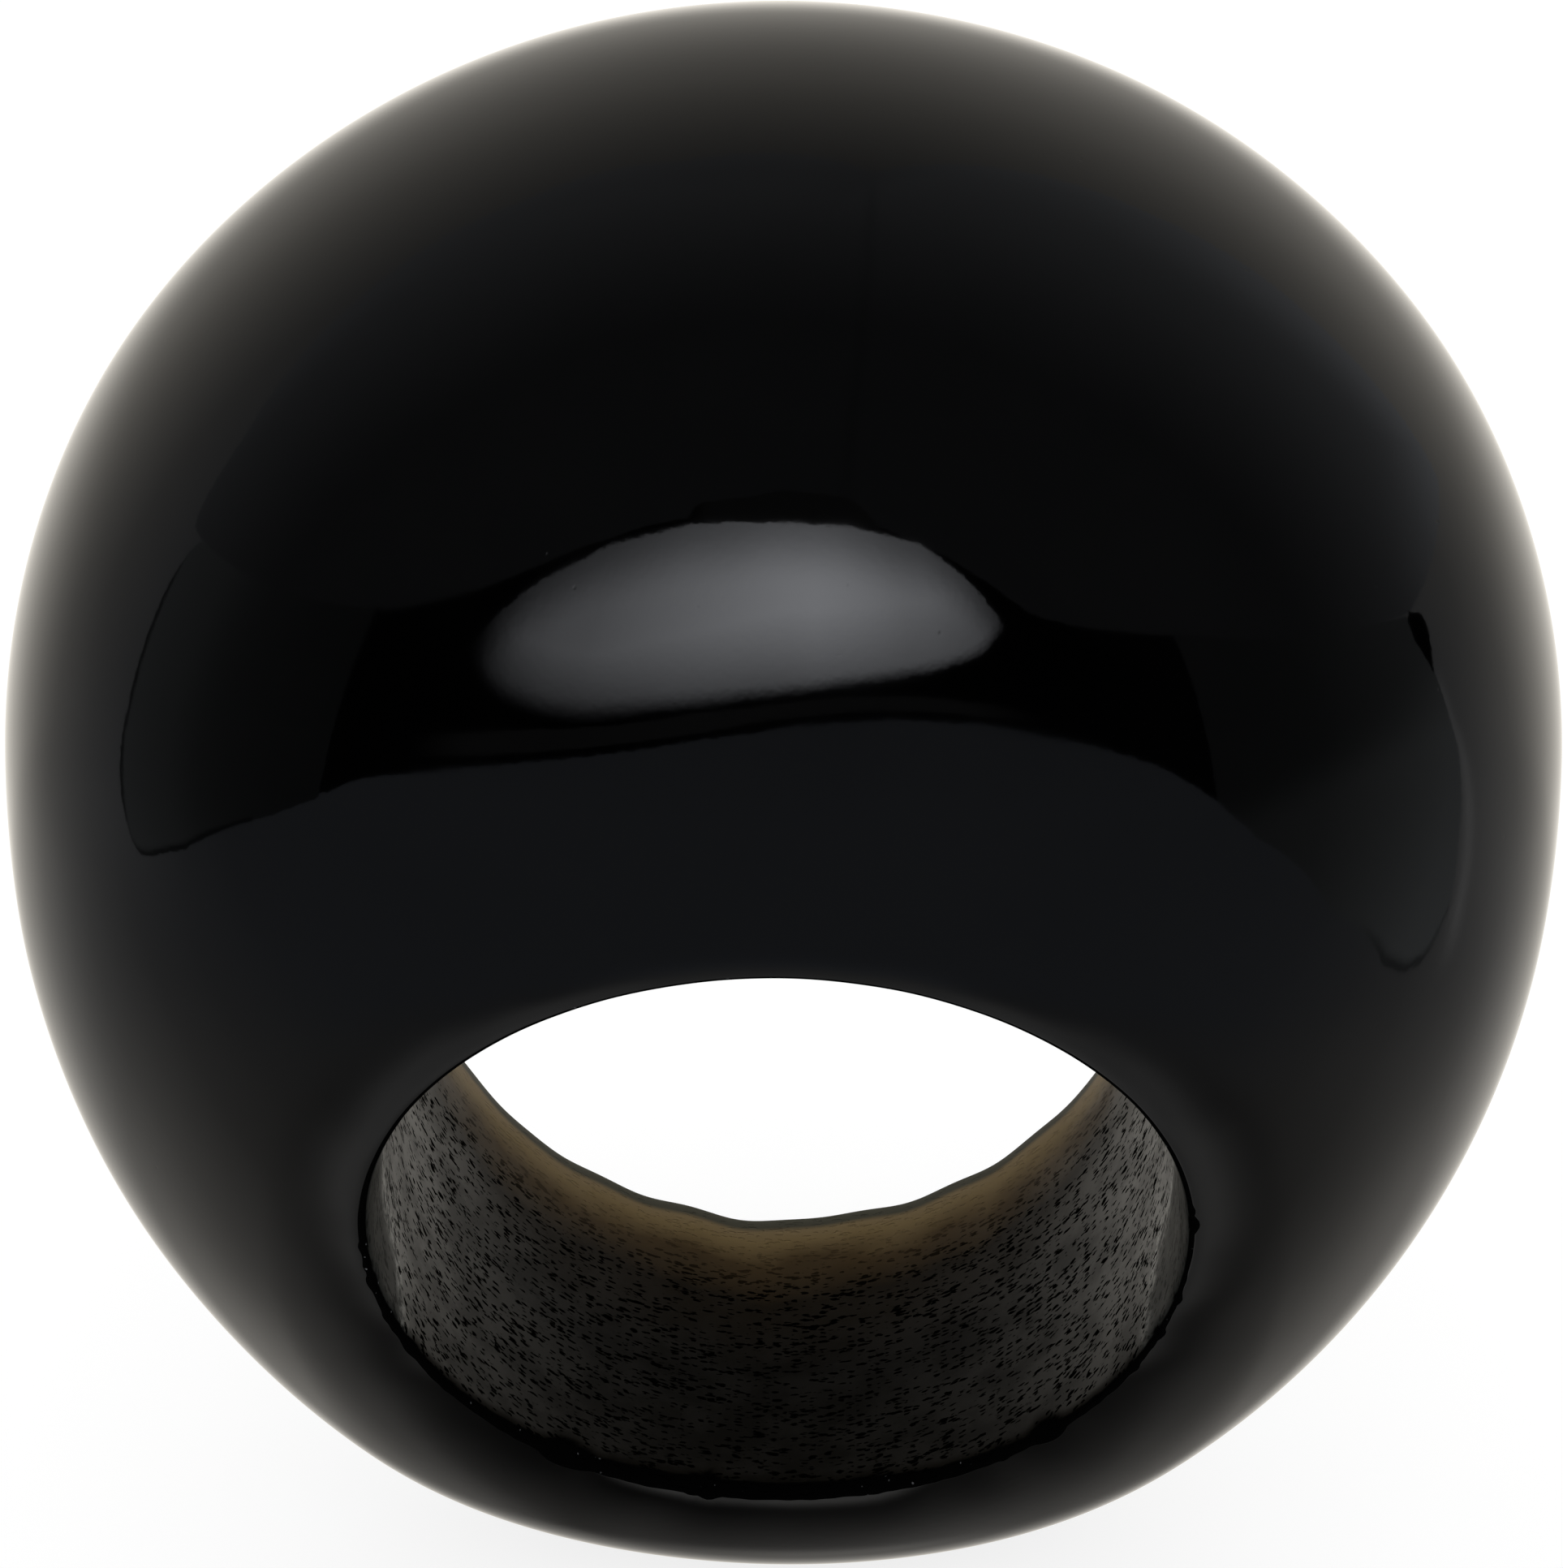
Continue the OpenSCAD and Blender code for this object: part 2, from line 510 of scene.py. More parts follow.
def polished_finish():
    """Mirror polish on black stone: faint ripple, smears and a few tiny pits."""
    material, sheet = new_material("polished_black_stone")
    place = sheet.node("ShaderNodeTexCoord").outputs["Object"]
    clouds = place_group(
        sheet,
        "stone clouds",
        Place=place,
        Scale=260.0,
        Dark=POLISH_DARK,
        Light=POLISH_LIGHT,
    )
    pits = place_group(sheet, "stone pits", Place=place, Across=1400.0, Around=1400.0, Size=0.035)
    ripple = sheet.noise(place, RIPPLE_SCALE, 1.5, 0.5)
    height = sheet.math("SUBTRACT", sheet.math("MULTIPLY", ripple, RIPPLE_SHARE), pits["Pits"])
    bump = sheet.node("ShaderNodeBump", Strength=1.0, Distance=POLISH_RELIEF, Height=height)
    smear = sheet.remap(sheet.noise(place, SMEAR_SCALE, 3.0, 0.6), 0.35, 0.75, *SMEAR_ROUGHNESS)
    rough = sheet.math("ADD", smear, sheet.math("MULTIPLY", pits["Pits"], PIT_ROUGHNESS), clamp=True)
    shader = sheet.node(
        "ShaderNodeBsdfPrincipled",
        Base_Color=clouds["Color"],
        Roughness=rough,
        IOR=STONE_IOR,
        Normal=bump.outputs["Normal"],
    )
    output = sheet.node("ShaderNodeOutputMaterial")
    sheet.feed(output.inputs["Surface"], shader.outputs[0])
    return material


# The crease where the front mouth opens out: its depth on the left and on the right, and how it bends forward
# under a level (metres).
CREASE_LEFT, CREASE_RIGHT = 0.0054, 0.0048
CREASE_SPAN = 0.006
CREASE_BEND_LEVEL = -0.0022
CREASE_BEND_SLOPE = 1.5
# How far past the crease the facet of the mouth begins (metres).
FACET_START = (0.00002, 0.00020)
# Scuffs and a painted highlight along that crease: the line's half width and core, how far and how strongly the wall
# beside it is lightened (metres), and the level at which they fade out.
CREASE_LINE_HALF_WIDTH, CREASE_LINE_CORE = 0.00085, 0.00010
CREASE_SIDE_REACH, CREASE_SIDE_SHARE = 0.0040, 0.40
CREASE_MARK_LEVEL = (-0.0042, -0.0022)
# The wall's dull sheen fades out below the middle of the hole, painted shade where less light falls: the level where
# it ends and its rise to full (metres).
SHEEN_END, SHEEN_RISE = 0.0095, 0.0061
SHEEN_LEAST, SHEEN_POWER = 0.05, 1.2
# The share of it in dark clouds, near the far rim (millimetres), on the left as painted shade (metres) and on the
# facet.
CLOUD_SHEEN = 0.68
RIM_SHEEN, RIM_SHEEN_REACH = 0.6, (1.0, 6.0)
LEFT_SHEEN, LEFT_SHEEN_SPAN = 0.84, 0.009
FACET_SHEEN = 0.74
# The share of the pits that shows near the far rim (millimetres) and on the facet.
RIM_PITS, RIM_PITS_REACH = 0.03, (0.9, 3.6)
FACET_PITS = 0.45
# Roughness of the bare wall and of its pits.
WALL_ROUGHNESS = (0.55, 0.9)
# Height in metres of the wall's grain and pits.
WALL_RELIEF = 0.00004

# Colours of the ground wall; the pit colour is painted shade, the crease colour partly a painted highlight, and the
# glint colour painted glints in the chipped edge.
WALL_DARK, WALL_LIGHT = (0.0040, 0.0035, 0.0025, 1), (0.0078, 0.0069, 0.0053, 1)
FACET_COLOR = (0.022, 0.023, 0.021, 1)
SCUFF_AND_HIGHLIGHT_COLOR = (0.300, 0.295, 0.270, 1)
PIT_SHADE_COLOR = (0.0012, 0.0011, 0.0009, 1)
CHIP_COLOR = (0.0010, 0.0010, 0.0010, 1)
GLINT_COLOR = (0.120, 0.125, 0.130, 1)
# Painted glow of back light shining brownish through the thin far rim, by the share of a distance from it in
# millimetres.
RIM_GLOW_LENGTH = 5.0
# Where it ends, and how uneven it is and from where on, in millimetres from the rim.
RIM_GLOW_END = (7.0, 3.2)
RIM_GLOW_UNEVEN, RIM_GLOW_UNEVEN_START = 1.6, (0.3, 2.0)
RIM_GLOW_STOPS = (
    (0.00, (0.084, 0.082, 0.060)),
    (0.065, (0.078, 0.074, 0.054)),
    (0.105, (0.235, 0.170, 0.086)),
    (0.19, (0.218, 0.154, 0.069)),
    (0.40, (0.074, 0.047, 0.019)),
    (0.70, (0.0150, 0.0105, 0.0055)),
)


def ground_finish():
    """Matt ground wall of the finger hole: pitted, scuffed at the creases, with painted shade in its pits, low down
    and on the left, a painted highlight along the creases and a brownish painted glow of back light at the thin far
    rim.
    """
    material, sheet = new_material("ground_black_stone")
    place = sheet.node("ShaderNodeTexCoord").outputs["Object"]
    clouds = place_group(
        sheet,
        "stone clouds",
        Place=place,
        Scale=700.0,
        Dark=WALL_DARK,
        Light=WALL_LIGHT,
    )
    rim = sheet.node("ShaderNodeAttribute", {"attribute_name": "rim_distance"}).outputs["Fac"]
    uneven = sheet.math("SUBTRACT", sheet.noise(place, 420.0, 3.0, 0.6), 0.5)
    uneven = sheet.math("MULTIPLY", uneven, RIM_GLOW_UNEVEN)
    from_rim = sheet.math("ADD", rim, sheet.math("MULTIPLY", uneven, sheet.remap(rim, *RIM_GLOW_UNEVEN_START)))
    # Painted light: back light shining through the thin far rim, put into the wall's colour as a brownish glow.
    rim_glow = sheet.ramp(sheet.math("DIVIDE", from_rim, RIM_GLOW_LENGTH), RIM_GLOW_STOPS)
    stone = sheet.mix(sheet.remap(rim, *RIM_GLOW_END), clouds["Color"], rim_glow)

    spot = sheet.node("ShaderNodeSeparateXYZ", Vector=place).outputs
    under = sheet.math("MAXIMUM", sheet.math("SUBTRACT", CREASE_BEND_LEVEL, spot["Z"]), 0.0)
    start = sheet.remap(spot["X"], -CREASE_SPAN, CREASE_SPAN, CREASE_LEFT, CREASE_RIGHT)
    crease = sheet.math("ADD", sheet.math("MULTIPLY", under, CREASE_BEND_SLOPE), start)
    past = sheet.math("SUBTRACT", sheet.math("MULTIPLY", spot["Y"], -1.0), crease)
    facet = sheet.remap(past, *FACET_START)
    # The crease line and the wall beside it are lightened: scuffs, and partly a painted highlight of the crease edge.
    patchy = sheet.remap(sheet.noise(place, 2600.0, 4.0, 0.7), 0.42, 0.58)
    line = sheet.remap(sheet.math("ABSOLUTE", past), CREASE_LINE_HALF_WIDTH, CREASE_LINE_CORE)
    line = sheet.math("MULTIPLY", line, patchy)
    side_share = sheet.remap(facet, 0.0, 1.0, CREASE_SIDE_SHARE, 0.0)
    beside = sheet.math("MULTIPLY", sheet.remap(past, -CREASE_SIDE_REACH, 0.0), side_share)
    scuff_and_highlight = sheet.math("MAXIMUM", line, beside)
    scuff_and_highlight = sheet.math("MULTIPLY", scuff_and_highlight, sheet.remap(spot["Z"], *CREASE_MARK_LEVEL))
    stone = sheet.mix(facet, stone, FACET_COLOR)
    stone = sheet.mix(scuff_and_highlight, stone, SCUFF_AND_HIGHLIGHT_COLOR)

    small = place_group(sheet, "stone pits", Place=place, Across=10500.0, Around=4800.0, Size=0.40)
    large = place_group(sheet, "stone pits", Place=place, Across=4600.0, Around=2600.0, Size=0.23)
    pits = sheet.math("MAXIMUM", small["Pits"], large["Pits"])
    shown = sheet.math("MULTIPLY", pits, sheet.remap(rim, *RIM_PITS_REACH, RIM_PITS, 1.0))
    shown = sheet.math("MULTIPLY", shown, sheet.remap(facet, 0.0, 1.0, 1.0, FACET_PITS))
    # Pits are coloured near black: painted shade in their hollows.
    stone = sheet.mix(shown, stone, PIT_SHADE_COLOR)
    edge = sheet.node("ShaderNodeAttribute", {"attribute_name": "chipped_edge"}).outputs["Fac"]
    glints = place_group(sheet, "stone pits", Place=place, Across=3900.0, Around=3900.0, Size=0.07)
    chipped = sheet.mix(glints["Pits"], CHIP_COLOR, GLINT_COLOR)
    stone = sheet.mix(edge, stone, chipped)

    grain = sheet.noise(place, 14000.0, 2.0, 0.6)
    pit_depth = sheet.math("MAXIMUM", small["Depth"], large["Depth"])
    height = sheet.math("SUBTRACT", sheet.math("MULTIPLY", grain, 0.12), pit_depth)
    bump = sheet.node("ShaderNodeBump", Strength=0.8, Distance=WALL_RELIEF, Height=height)
    rough = sheet.remap(shown, 0.0, 1.0, *WALL_ROUGHNESS)
    cloudy = sheet.remap(clouds["Tone"], 0.0, 1.0, CLOUD_SHEEN, 1.0)
    worn_and_shaded_sheen = sheet.math("MULTIPLY", cloudy, sheet.remap(rim, *RIM_SHEEN_REACH, RIM_SHEEN, 1.0))
    # Painted shade: the sheen weakens towards the bottom of the hole and on the left, where less light falls.
    shade_by_height = sheet.math("DIVIDE", sheet.math("ADD", spot["Z"], SHEEN_END), SHEEN_RISE, clamp=True)
    shade_by_height = sheet.math("POWER", shade_by_height, SHEEN_POWER)
    shade_by_height = sheet.math("MULTIPLY_ADD", shade_by_height, 1 - SHEEN_LEAST, c=SHEEN_LEAST)
    worn_and_shaded_sheen = sheet.math("MULTIPLY", worn_and_shaded_sheen, shade_by_height)
    shade_to_left = sheet.remap(spot["X"], -LEFT_SHEEN_SPAN, LEFT_SHEEN_SPAN, LEFT_SHEEN, 1.0)
    worn_and_shaded_sheen = sheet.math("MULTIPLY", worn_and_shaded_sheen, shade_to_left)
    worn_and_shaded_sheen = sheet.math("MULTIPLY", worn_and_shaded_sheen, sheet.remap(facet, 0.0, 1.0, 1.0, FACET_SHEEN))
    bare = sheet.math("SUBTRACT", 1.0, sheet.math("MAXIMUM", shown, edge))
    sheen = sheet.math("MULTIPLY", worn_and_shaded_sheen, bare, clamp=True)
    shader = sheet.node(
        "ShaderNodeBsdfPrincipled",
        Base_Color=stone,
        Roughness=rough,
        Specular_IOR_Level=0.0,
        Coat_Weight=sheen,
        Coat_Roughness=0.42,
        Coat_IOR=1.44,
        Normal=bump.outputs["Normal"],
    )
    output = sheet.node("ShaderNodeOutputMaterial")
    sheet.feed(output.inputs["Surface"], shader.outputs[0])
    return material


# The camera, at the photograph's view of the ring.
CAMERA_ELEVATION = math.radians(31.06)
CAMERA_AZIMUTH = math.radians(0.336)
CAMERA_ROLL = math.radians(0.414)
CAMERA_DISTANCE = 0.5028
CAMERA_LENS = 526.5
CAMERA_SENSOR = 36.0
AIM_HEIGHT = 0.00735
AIM_RIGHT = -0.000028
AIM_UP = -0.000796


def place_camera():
    toward = Vector(
        (
            math.sin(CAMERA_AZIMUTH) * math.cos(CAMERA_ELEVATION),
            -math.cos(CAMERA_AZIMUTH) * math.cos(CAMERA_ELEVATION),
            math.sin(CAMERA_ELEVATION),
        )
    )
    right = Vector((math.cos(CAMERA_AZIMUTH), math.sin(CAMERA_AZIMUTH), 0.0))
    up = toward.cross(right)
    aim = Vector((0.0, 0.0, AIM_HEIGHT)) + right * AIM_RIGHT + up * AIM_UP
    data = bpy.data.cameras.new("camera")
    data.sensor_fit = "HORIZONTAL"
    data.sensor_width = CAMERA_SENSOR
    data.lens = CAMERA_LENS
    data.clip_start = 0.01
    data.clip_end = 20.0
    camera = bpy.data.objects.new("camera", data)
    turn = Matrix((right, up, toward)).transposed() @ Matrix.Rotation(CAMERA_ROLL, 3, "Z")
    camera.matrix_world = Matrix.Translation(aim + toward * CAMERA_DISTANCE) @ turn.to_4x4()
    bpy.context.collection.objects.link(camera)
    bpy.context.scene.camera = camera


# The studio around the ring. Its cloth, panels and lamp are seen only in the polish.
# Places are (azimuth, elevation) in degrees around the ring; azimuth 0 is the camera's side, +90 is +X.
STUDIO_CENTER = np.array([0.0, 0.0, 0.007])
TENT_DISTANCE = 0.40
SLOT_DISTANCE = 0.39
LEDGE_DISTANCE = 0.388
LAMP_DISTANCE = 0.385
ROOF_DISTANCE = 0.38
PANEL_DISTANCE = 0.375
FLAP_DISTANCE = 0.372

ROOF_EDGE = (
    (-180, 64), (-156, 62), (-131, 51), (-115, 36), (-102, 20), (-99, 10), (-94, 10.5), (-81, 12.6), (-67, 15.8),
    (-55, 19.5), (-44, 25.8), (-31, 35.1), (-22, 39.9), (-16, 41.8), (0, 43.5), (16, 41.3), (25, 36), (31, 30.2),
    (36, 24.5), (42, 21.7), (53, 18), (69, 11.3), (83, 6.1), (98, 1), (125, 1), (128, 18), (134, 36), (147, 54),
    (157, 66), (180, 64),
)
SLOT_FOOT = (
    (-58, -5.4), (-52.5, -1.4), (-38.6, 3.8), (-24.5, 8.2), (-10.9, 11.7), (2.7, 13.8), (14.3, 13.6), (26, 11.6),
    (37.9, 7.6), (46.3, 3.2), (52.2, -2.0), (54, -3.6),
)
SLOT_TOP = ((-58, 55), (54, 55))
LEDGE_FOOT = (
    (-46, 3.2), (-29.3, 8.0), (-15.6, 11.6), (-1.9, 14.6), (9.8, 15.1), (19.1, 14.1), (27.4, 12.1), (34.7, 10.7),
)
LEDGE_TOP = (
    (-46, 6.0), (-33.5, 9.9), (-20.5, 12.9), (-11.2, 15.4), (0.4, 16.9), (7.5, 17.3), (17, 16.5), (26.5, 14.1),
    (34.7, 11.1),
)
LAMP_FOOT = (
    (-42, 17.4), (-38.7, 14.3), (-35.5, 12.9), (-30.2, 12.2), (-25.2, 12.4), (-15.9, 15.0), (-4.3, 17.4),
    (7.6, 18.7), (19.9, 19.3), (26.5, 20.4), (30.8, 23.6),
)
LAMP_TOP = (
    (-42, 18.4), (-40.5, 22.6), (-35.8, 29.1), (-26.6, 36.5), (-15.5, 41.0), (-9, 41.9), (-2.9, 43.0), (8, 42.4),
    (14.6, 40.6), (21.7, 38.2), (26.2, 33.7), (30, 27.6), (30.8, 25.0),
)
CAP_FOOT = ((-16, 41.4), (0, 42.5), (15, 41.6))
CAP_TOP = ((-16, 42.0), (-15, 44.2), (0, 47.3), (11, 46.2), (15, 42.2))
LEFT_PANEL_FOOT = (
    (-96.8, -24), (-96.3, -29), (-95, -30.6), (-92.3, -30.2), (-84.5, -27.1), (-75.7, -21.1), (-66.2, -14.1),
    (-58, -6),
)
LEFT_PANEL_TOP = ((-96.8, 4), (-95.8, 9.5), (-94.1, 10.5), (-80.8, 12.6), (-67.5, 15.8), (-58, 18.7))
RIGHT_PANEL_FOOT = (
    (54, -3.6), (61.5, -14.2), (77.7, -30.7), (94.8, -39.4), (99.7, -40.3), (103, -39.5), (104.5, -36),
)
RIGHT_PANEL_TOP = (
    (54, 18), (69.3, 11.3), (83.3, 6.1), (97.6, 1), (99.1, -5.6), (101, -12.3), (102, -28), (104.5, -35),
)
SLIT_FOOT = ((97, -1.6), (99, -5.8), (101, -2.5))
SLIT_TOP = ((97, 0.6), (98, 1.2), (101, -0.5))
FOLD_LINE = ((-38.5, 107.5), (-34.3, 106.7), (-27.3, 104.6), (-17.6, 102.2), (-7.2, 99.4))

# Brightness of the lamp from its left to its right, by azimuth.
LAMP_STRENGTH = 3.4
LAMP_ACROSS = (
    (-42, 0.0), (-38, 0.15), (-34.7, 0.25), (-30.4, 0.32), (-26, 0.36), (-17.5, 0.54), (-9, 0.73), (0, 0.93),
    (4, 0.98), (8, 0.92), (12.6, 0.80), (17, 0.66), (21, 0.59), (25.5, 0.50), (30.5, 0.40),
)
# How it fades towards its foot, by azimuth: the share left there, and over how many degrees it rises and is cut off.
LAMP_FOOT_SHARE = ((-25, 0.12), (-15, 0.24), (0, 0.22), (12, 0.36), (21, 0.50), (30, 0.55))
LAMP_FOOT_RISE = ((-25, 9), (0, 12), (12, 11), (21, 10))
LAMP_FOOT_CUT = ((-25, 3.5), (0, 2.0))
LAMP_FOOT_START = -0.5
# The share of its brightness at its top edge, and the degrees under that edge over which it fades.
LAMP_TOP_SHARE, LAMP_TOP_FADE = 0.4, (0, 10)
# Brightness of the side panels, by azimuth.
LEFT_PANEL_GLOW = ((-96, 0.13), (-86, 0.100), (-80, 0.066), (-76, 0.054), (-66, 0.038), (-58, 0.033))
RIGHT_PANEL_GLOW = ((54, 0.075), (72, 0.092), (84, 0.14), (98, 0.19))
# The dark edges of the panels: how many degrees wide, and what is left there on the left one.
PANEL_EDGE, PANEL_EDGE_SHARE = (0.3, 1.1), 0.25
# The left one's foot has such an edge up to an azimuth; further on, every place counts as far inside.
LEFT_EDGE_END, FAR_INSIDE = -70, 9
# On the right one, how much the edge at its foot and its top darken, and where they begin.
RIGHT_EDGE_SHADE, RIGHT_EDGE_START = 0.7, (82, 98)
RIGHT_TOP_SHADE, RIGHT_TOP_FADE = 0.5, (-14, -2)

# Brightness of the tent's cloth, of the foot of its walls and of its floor, from the front (-1) to the back (1).
CLOTH_GLOW = (
    (-1.0, 0.13), (-0.2, 0.12), (0.0, 0.15), (0.14, 0.21), (0.36, 0.26),
    (0.53, 0.37), (0.62, 0.43), (0.7, 0.48), (0.8, 0.55), (1.0, 0.60),
)
WALL_FOOT_GLOW = (
    (-1.0, 0.13), (-0.25, 0.115), (-0.09, 0.14), (0.12, 0.22), (0.29, 0.28), (0.5, 0.39),
    (0.64, 0.52), (0.77, 0.68), (0.87, 0.85), (1.0, 1.05),
)
FLOOR_GLOW = (
    (-1.0, 0.135), (-0.5, 0.118), (-0.2, 0.115), (0.0, 0.122), (0.15, 0.148), (0.25, 0.20), (0.32, 0.25),
    (0.38, 0.325), (0.44, 0.43), (0.52, 0.55), (0.6, 0.69), (0.67, 0.76), (1.0, 1.0),
)
# The ring's own shadow on the tent's floor: half its width and depth, where it ends, and how dark it is.
SHADOW_HALF_WIDTH, SHADOW_HALF_DEPTH = 0.39, 0.22
SHADOW_END = (0.4, 1.5)
SHADOW_SHARE = 0.15
# The lit floor close in front of the ring, and on both sides of that.
# Each is bounded by degrees down, by place towards the back and by place across.
APRON_GLOW = 0.15
APRON_DOWN, APRON_BACK, APRON_ACROSS = (25, 70), (0.08, -0.1), (0.3, 0.1)
BESIDE_GLOW = 0.17
BESIDE_DOWN, BESIDE_BACK = (44, 56), (0.12, -0.10)
BESIDE_INNER, BESIDE_OUTER = (0.05, 0.30), (0.60, 0.42)
# How the floor dims low on both sides, more on the right: where, by degrees down and by place across, and how much.
DIP_DOWN, DIP_ACROSS, DIP_RIGHT = (45, 58), (0.1, 0.35), (-0.2, 0.2)
DIP_SHARE, DIP_RIGHT_SHARE = 0.22, 0.18
# How the floor right under the ring changes from left to right.
UNDER_GLOW = (
    (-0.35, 0.95), (-0.22, 0.64), (-0.17, 0.56), (-0.12, 0.55), (-0.07, 1.0), (0.0, 1.62), (0.06, 1.72), (0.11, 1.38),
    (0.17, 0.95), (0.23, 0.78), (0.35, 0.95),
)
UNDER_DOWN = (66, 73)
# Degrees down over which the cloth passes into the foot of its walls, and that into the floor.
WALL_FOOT_DOWN, FLOOR_DOWN = (0, 18), (24, 42)

# How the cloth dims upwards, per degree, and the light fold in it: its brightness, half width and ends in degrees.
CLOTH_DIMMING = 0.006
FOLD_GLOW, FOLD_HALF_WIDTH = 0.13, 1.3
FOLD_FOOT, FOLD_TOP = (-41, -36), (-5, -9)
# The roof's level, how it brightens towards the back, and the seam in it: its depth, half width and lean.
ROOF_LEVEL, ROOF_RISE, ROOF_START, ROOF_POWER = 0.052, 0.25, 0.25, 1.3
SEAM_DEPTH, SEAM_HALF_WIDTH, SEAM_LEAN = 0.16, 0.010, 0.17
# Where the roof melts into the cloth: over its edge towards the back, and on the right.
MELT_AZIMUTH, MELT_OVER_FOOT = (95, 115), (0, 14)
RIGHT_MELT_AZIMUTH, RIGHT_MELT_TOP = (113, 127), (75, 25)
# The ledge and the roof's flap: their levels, and the azimuths over which they begin and end.
LEDGE_LEVEL = 0.042
LEDGE_START, LEDGE_END = (-47, -38), (35, 22)
CAP_LEAST, CAP_RISE = 0.004, 0.026
CAP_START = (-16, -13)

FRONT_TINT = np.array([0.93, 1.0, 1.13])
BACK_TINT = np.array([1.05, 1.0, 0.91])
ROOF_TINT = np.array([0.97, 1.0, 1.05])
LAMP_TINT = np.array([0.98, 1.0, 1.06])
PANEL_TINT = np.array([0.97, 1.02, 1.04])
NO_TINT = np.ones(3)
# Where the tint turns from front to back, and where the front's fades out downwards.
TINT_BACK, TINT_LOW = (-0.5, 0.8), (-0.60, -0.80)


def along(points, place):
    """Value at a place along a list of (place, value) points."""
    where, value = np.array(points, dtype=float).T
    return np.interp(place, where, value)


def direction(azimuth, elevation):
    a, e = np.radians(azimuth), np.radians(elevation)
    return np.stack([np.sin(a) * np.cos(e), -np.cos(a) * np.cos(e), np.sin(e)], axis=-1)


def studio_surface(name, points, glow):
    """A glowing grid that only the polish sees."""
    rows, columns = glow.shape[:2]
    index = np.arange(rows * columns).reshape(rows, columns)
    quads = np.stack([index[:-1, :-1], index[:-1, 1:], index[1:, 1:], index[1:, :-1]], axis=-1).reshape(-1, 4)
    mesh = bpy.data.meshes.new(name)
    mesh.from_pydata(points.reshape(-1, 3).tolist(), [], quads.tolist())
    level = mesh.attributes.new("glow", "FLOAT_VECTOR", "POINT")
    level.data.foreach_set("vector", glow.reshape(-1).astype(np.float32))
    material, sheet = new_material(name)
    material.cycles.emission_sampling = "NONE"
    glow_node = sheet.node("ShaderNodeAttribute", {"attribute_name": "glow"})
    emission = sheet.node("ShaderNodeEmission", Color=glow_node.outputs["Color"], Strength=1.0)
    output = sheet.node("ShaderNodeOutputMaterial")
    sheet.feed(output.inputs["Surface"], emission.outputs[0])
    mesh.materials.append(material)
    surface = bpy.data.objects.new(name, mesh)
    bpy.context.collection.objects.link(surface)
    surface.visible_camera = False
    surface.visible_diffuse = False
    surface.visible_transmission = False
    surface.visible_shadow = False


def soft_line(points, azimuth, softness):
    """An edge through (azimuth, elevation) points, with its corners rounded over some degrees."""
    line = along(points, azimuth)
    if softness > 0:
        step = azimuth[1] - azimuth[0]
        reach_out = max(1, int(round(softness / step)))
        weights = np.hanning(2 * reach_out + 3)[1:-1]
        padded = np.pad(line, reach_out, mode="reflect", reflect_type="odd")
        line = np.convolve(padded, weights / weights.sum(), mode="valid")
    return line


def studio_band(name, foot, top, glow, distance, tint, steps=(120, 24), softness=0.0):
    """A piece of the studio between two edges given as (azimuth, elevation) points."""
    azimuth = np.linspace(foot[0][0], foot[-1][0], steps[0])
    share = np.linspace(0, 1, steps[1])[None, :]
    low = soft_line(foot, azimuth, softness)[:, None]
    high = soft_line(top, azimuth, softness)[:, None]
    elevation = low * (1 - share) + high * share
    azimuth = azimuth[:, None] + 0 * share
    facing = direction(azimuth, elevation)
    level = glow(azimuth, elevation, facing, elevation - low, high - elevation)
    studio_surface(name, STUDIO_CENTER + distance * facing, level[..., None] * tint(facing))


def plain_tint(color):
    return lambda facing: color


def tent_tint(facing):
    share = smooth_step(*TINT_BACK, facing[..., 1])[..., None]
    low = smooth_step(*TINT_LOW, facing[..., 2])[..., None]
    front = FRONT_TINT * (1 - low) + NO_TINT * low
    return front * (1 - share) + BACK_TINT * share


def tent_glow(azimuth, elevation, facing, over_foot, under_top):
    across, back = facing[..., 0], facing[..., 1]
    cloth = along(CLOTH_GLOW, back) * (1 - CLOTH_DIMMING * np.clip(elevation, 0, None))
    wall_foot = along(WALL_FOOT_GLOW, -np.cos(np.radians(azimuth)))
    dip = smooth_step(*DIP_DOWN, -elevation) * smooth_step(*DIP_ACROSS, np.abs(across))
    dip = dip * (DIP_SHARE + DIP_RIGHT_SHARE * smooth_step(*DIP_RIGHT, across))
    floor = along(FLOOR_GLOW, back) * (1 - dip)
    off_shadow = np.hypot(across / SHADOW_HALF_WIDTH, back / SHADOW_HALF_DEPTH)
    floor = floor * (SHADOW_SHARE + (1 - SHADOW_SHARE) * smooth_step(*SHADOW_END, off_shadow))
    apron = smooth_step(*APRON_DOWN, -elevation) * smooth_step(*APRON_BACK, back)
    apron = apron * smooth_step(*APRON_ACROSS, np.abs(across))
    beside = smooth_step(*BESIDE_OUTER, np.abs(across)) * smooth_step(*BESIDE_INNER, np.abs(across))
    beside = beside * smooth_step(*BESIDE_DOWN, -elevation) * smooth_step(*BESIDE_BACK, back)
    floor = floor + APRON_GLOW * apron + BESIDE_GLOW * beside
    floor = floor * (1 + (along(UNDER_GLOW, across) - 1) * smooth_step(*UNDER_DOWN, -elevation))
    share = smooth_step(*WALL_FOOT_DOWN, -elevation)
    level = cloth * (1 - share) + wall_foot * share
    share = smooth_step(*FLOOR_DOWN, -elevation)
    level = level * (1 - share) + floor * share
    fold = np.exp(-(((azimuth - along(FOLD_LINE, elevation)) / FOLD_HALF_WIDTH) ** 2))
    fold = FOLD_GLOW * fold * smooth_step(*FOLD_FOOT, elevation) * smooth_step(*FOLD_TOP, elevation)
    return level + fold


